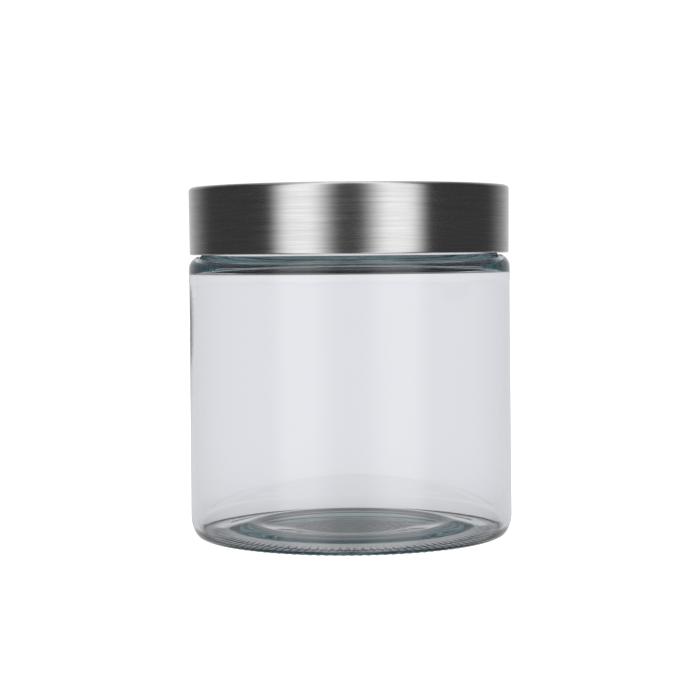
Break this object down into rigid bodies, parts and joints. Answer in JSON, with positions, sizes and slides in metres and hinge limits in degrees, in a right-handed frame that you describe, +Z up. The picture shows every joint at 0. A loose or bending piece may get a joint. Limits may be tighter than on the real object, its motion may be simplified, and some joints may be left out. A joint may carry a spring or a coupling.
{
  "type": "lidded glass canister",
  "caption": "Squat round glass storage canister with a threaded neck and a flat-topped brushed steel screw lid that seals with a silicone ring.",
  "frame": {"origin": "centre of the base, on the plane that the jar stands on", "axes": "+Z up along the jar's axis, from base to lid; +X and +Y are level, and the round body has no front"},
  "size_m": [0.11, 0.11, 0.119],
  "materials": {
    "jar_glass": "clear smooth soda-lime glass with a faint grey-green tint",
    "lid_steel": "stainless steel, brushed round the side and across the top",
    "insert_plastic": "charcoal polypropylene, fine satin",
    "seal_silicone": "translucent food-grade silicone"
  },
  "bodies": {
    "jar": {"glass_jar": "jar_glass"},
    "seal": {"seal_ring": "seal_silicone"},
    "lid": {"lid_shell": "lid_steel", "lid_insert": "insert_plastic"}
  },
  "joints": [
    {"name": "lid_rise", "type": "slide", "parent": "jar", "child": "seal", "axis": [0, 0, 1], "range_m": [0, 0.025]},
    {"name": "lid_turn", "type": "hinge", "parent": "seal", "child": "lid", "pos_m": [0, 0, 0.1], "axis": [0, 0, 1], "range_deg": [0, 450]}
  ],
  "couplings": [
    {"joint": "lid_rise", "follows": "lid_turn", "m_per_rad": 0.0031831}
  ]
}
